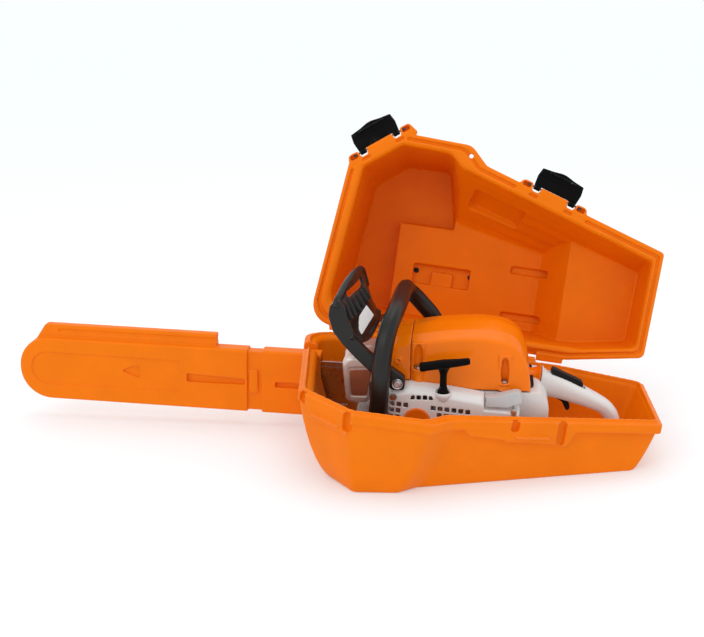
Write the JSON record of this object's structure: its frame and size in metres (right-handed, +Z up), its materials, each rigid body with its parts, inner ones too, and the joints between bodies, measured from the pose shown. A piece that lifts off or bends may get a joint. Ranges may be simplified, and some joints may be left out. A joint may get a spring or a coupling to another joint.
{
  "type": "chainsaw in a carrying case",
  "caption": "Chainsaw with a lift-off air filter housing, resting in a hinged carrying case with its guide bar in a slide-on scabbard.",
  "frame": {"origin": "centre of the whole object's footprint box, on the surface that the case stands on", "axes": "+X from the bar's nose to the rear handle, +Y from the front of the case to its hinge, +Z up"},
  "size_m": [0.9866, 0.563, 0.4547],
  "materials": {
    "orange": "moulded, satin gloss",
    "black": "fine moulded grain",
    "light_grey": "satin moulded",
    "mid_grey": "satin moulded",
    "steel": "turned and ground",
    "aluminium": "die cast",
    "muffler_steel": "heat tinted",
    "filter": "pleated felt",
    "label": "printed plate, left blank",
    "rope": "braided"
  },
  "bodies": {
    "case_base": {"case_base": "orange", "hinge_pin_left": "steel", "hinge_pin_right": "steel"},
    "lid": {"case_lid": "orange", "carry_handle": "black", "carry_handle_screw_1": "black", "carry_handle_screw_2": "black", "latch_pin_left": "steel", "latch_pin_right": "steel"},
    "latch_left": {"latch_left": "black"},
    "latch_right": {"latch_right": "black"},
    "saw": {"tank_housing": "light_grey", "crankcase": "aluminium", "cylinder": "aluminium", "spark_plug": "steel", "plug_boot": "black", "muffler": "muffler_steel", "carburettor": "aluminium", "filter_base": "black", "cylinder_shroud": "orange", "starter_cover": "light_grey", "starter_cover_screw_1": "steel", "starter_cover_screw_2": "steel", "starter_cover_screw_3": "steel", "starter_cover_screw_4": "steel", "front_handlebar": "black", "rear_handle": "light_grey", "guard_pivot_1": "steel", "guard_pivot_2": "steel", "guide_bar": "steel", "saw_chain": "steel", "bar_stud_1": "steel", "bar_stud_2": "steel", "sprocket_cover": "mid_grey", "cover_nut_1": "steel", "cover_nut_2": "steel", "bumper_spike": "steel"},
    "scabbard": {"bar_scabbard": "orange"},
    "filter_cover": {"filter_cover": "orange"},
    "filter_element": {"filter_element": "filter"},
    "hood_fastener_front": {"hood_fastener_front": "steel"},
    "hood_fastener_rear": {"hood_fastener_rear": "steel"},
    "starter_grip": {"starter_grip": "black", "starter_rope": "rope"},
    "hand_guard": {"hand_guard": "black", "guard_label": "label"},
    "throttle_trigger": {"throttle_trigger": "black"},
    "trigger_lockout": {"trigger_lockout": "black"},
    "control_lever": {"control_lever": "mid_grey"},
    "fuel_cap": {"fuel_cap": "black"},
    "oil_cap": {"oil_cap": "black"},
    "rotor": {"crankshaft": "steel", "flywheel": "aluminium"},
    "clutch": {"clutch_drum": "steel"}
  },
  "joints": [
    {"name": "lid_hinge", "type": "hinge", "parent": "case_base", "child": "lid", "pos_m": [-0.0246, 0.0403, 0.1285], "axis": [-0.993, 0, 0.1184], "range_deg": [-103, 0]},
    {"name": "latch_left_hinge", "type": "hinge", "parent": "lid", "child": "latch_left", "pos_m": [0.04491, 0.11301, 0.41051], "axis": [-0.8678, -0.1334, -0.4786], "range_deg": [-90, 0]},
    {"name": "latch_right_hinge", "type": "hinge", "parent": "lid", "child": "latch_right", "pos_m": [0.32575, 0.10358, 0.3359], "axis": [-0.9051, 0.0714, 0.4192], "range_deg": [-90, 0]},
    {"name": "saw_lift", "type": "slide", "parent": "case_base", "child": "saw", "axis": [0, 0, 1], "range_m": [0, 0.3]},
    {"name": "scabbard_slide", "type": "slide", "parent": "saw", "child": "scabbard", "axis": [-0.9996, 0, 0.0279], "range_m": [0, 0.46]},
    {"name": "hood_lift", "type": "slide", "parent": "saw", "child": "filter_cover", "axis": [0, 0, 1], "range_m": [0, 0.12]},
    {"name": "filter_lift", "type": "slide", "parent": "saw", "child": "filter_element", "axis": [0, 0, 1], "range_m": [0, 0.06]},
    {"name": "hood_fastener_front_turn", "type": "hinge", "parent": "filter_cover", "child": "hood_fastener_front", "pos_m": [0.1339, -0.1682, 0.149], "axis": [0, 0, 1], "range_deg": [0, 90]},
    {"name": "hood_fastener_rear_turn", "type": "hinge", "parent": "filter_cover", "child": "hood_fastener_rear", "pos_m": [0.2524, -0.1657, 0.132], "axis": [0, 0, 1], "range_deg": [0, 90]},
    {"name": "starter_pull", "type": "slide", "parent": "saw", "child": "starter_grip", "axis": [0, 0, 1], "range_m": [0, 0.08], "stiffness_N_per_m": 20, "springref_m": -0.02},
    {"name": "guard_tilt", "type": "hinge", "parent": "saw", "child": "hand_guard", "pos_m": [0.1074, -0.1097, 0.133], "axis": [0, -1, 0], "range_deg": [0, 20]},
    {"name": "trigger_squeeze", "type": "hinge", "parent": "saw", "child": "throttle_trigger", "pos_m": [0.3294, -0.0947, 0.088], "axis": [0, -1, 0], "range_deg": [0, 18], "stiffness_Nm_per_rad": 0.05, "springref_deg": -20.05},
    {"name": "lockout_press", "type": "hinge", "parent": "saw", "child": "trigger_lockout", "pos_m": [0.3624, -0.0947, 0.104], "axis": [0, -1, 0], "range_deg": [0, 12], "stiffness_Nm_per_rad": 0.05, "springref_deg": -20.05},
    {"name": "control_lever_turn", "type": "hinge", "parent": "saw", "child": "control_lever", "pos_m": [0.2329, -0.1887, 0.1237], "axis": [0, -1, 0], "range_deg": [0, 30]},
    {"name": "fuel_cap_turn", "type": "hinge", "parent": "saw", "child": "fuel_cap", "pos_m": [0.2654, -0.1727, 0.054], "axis": [0, -1, 0], "range_deg": [0, 90]},
    {"name": "oil_cap_turn", "type": "hinge", "parent": "saw", "child": "oil_cap", "pos_m": [0.0527, -0.1727, 0.0405], "axis": [0, -1, 0], "range_deg": [0, 90]},
    {"name": "crank_spin", "type": "hinge", "parent": "saw", "child": "rotor", "pos_m": [0.1554, -0.0997, 0.064], "axis": [0, 1, 0], "continuous": true},
    {"name": "clutch_spin", "type": "hinge", "parent": "saw", "child": "clutch", "pos_m": [0.1554, -0.0427, 0.064], "axis": [0, 1, 0], "continuous": true}
  ],
  "couplings": [
    {"joint": "filter_lift", "follows": "hood_lift", "ratio": 0.5}
  ]
}
